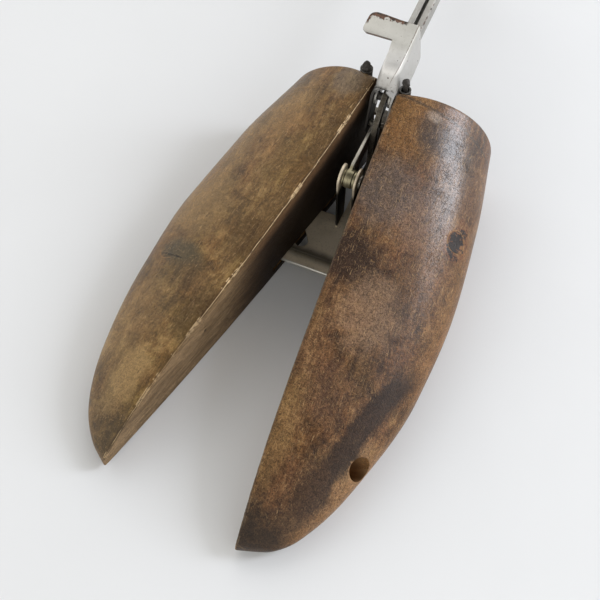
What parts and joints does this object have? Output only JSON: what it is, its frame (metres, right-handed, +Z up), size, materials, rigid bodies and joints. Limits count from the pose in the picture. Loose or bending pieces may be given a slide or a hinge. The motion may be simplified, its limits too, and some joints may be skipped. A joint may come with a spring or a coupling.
{
  "type": "shoe stretcher",
  "caption": "Split-toe wooden shoe stretcher: hinged half lasts spread by a folded steel lever, link and slide plate, with a rear strut and heel block.",
  "frame": {"origin": "centre of the footprint's bounding box, on the plane the wooden soles rest on", "axes": "+Z up, -Y from the heel block towards the toes, +X to the right half; the steel mechanism's middle plane is parallel to YZ"},
  "size_m": [0.1034, 0.2828, 0.058],
  "materials": {
    "wood": "dark stained, worn varnish",
    "plug": "near black, dull",
    "plated": "worn nickel plate",
    "steel": "dull bare steel",
    "iron": "dark oxidised iron"
  },
  "bodies": {
    "frame": {"centre_frame": "steel", "hinge_pin_left": "iron", "hinge_pin_right": "iron", "guide_rivet": "steel", "pivot_pin": "iron"},
    "left_half": {"half_left": "wood", "plug_left": "plug", "guide_pin_left": "steel", "strap_upper_left": "iron", "strap_lower_left": "iron", "strap_screw_upper_left": "iron", "strap_screw_lower_left": "iron"},
    "right_half": {"half_right": "wood", "plug_right": "plug", "guide_pin_right": "steel", "strap_upper_right": "iron", "strap_lower_right": "iron", "strap_screw_upper_right": "iron", "strap_screw_lower_right": "iron"},
    "lever": {"lever": "plated", "crank_rivet": "steel"},
    "slide_plate": {"slide_plate": "steel", "axle": "steel", "washer_left": "plated", "washer_right": "plated"},
    "link": {"link": "plated"},
    "strut": {"strut": "plated"},
    "heel": {"heel_slide": "steel", "heel_block": "wood"}
  },
  "joints": [
    {"name": "lever_hinge", "type": "hinge", "parent": "frame", "child": "lever", "pos_m": [0.00475, 0.0076, 0.041], "axis": [1, 0, 0], "range_deg": [0, 45]},
    {"name": "plate_slide", "type": "slide", "parent": "frame", "child": "slide_plate", "axis": [0, 1, 0], "range_m": [0, 0.00841]},
    {"name": "link_hinge", "type": "hinge", "parent": "slide_plate", "child": "link", "pos_m": [0.00475, -0.0209, 0.0308], "axis": [1, 0, 0], "range_deg": [-2, 2]},
    {"name": "left_hinge", "type": "hinge", "parent": "frame", "child": "left_half", "pos_m": [-0.00455, 0.015, 0], "axis": [0, 0, 1], "range_deg": [0, 9]},
    {"name": "right_hinge", "type": "hinge", "parent": "frame", "child": "right_half", "pos_m": [0.0107, 0.0113, 0], "axis": [0, 0, 1], "range_deg": [-1.4, 0]},
    {"name": "strut_hinge", "type": "hinge", "parent": "frame", "child": "strut", "pos_m": [0.00475, 0.0076, 0.041], "axis": [1, 0, 0], "range_deg": [-5, 2.5]},
    {"name": "heel_telescope", "type": "slide", "parent": "strut", "child": "heel", "axis": [0, 1, 0], "range_m": [-0.007, 0.02]}
  ],
  "couplings": [
    {"joint": "lever_hinge", "follows": "plate_slide", "rad_per_m": 93.389},
    {"joint": "link_hinge", "follows": "plate_slide", "rad_per_m": -1.03},
    {"joint": "left_hinge", "follows": "plate_slide", "rad_per_m": 18.678},
    {"joint": "right_hinge", "follows": "plate_slide", "rad_per_m": -2.9054}
  ]
}
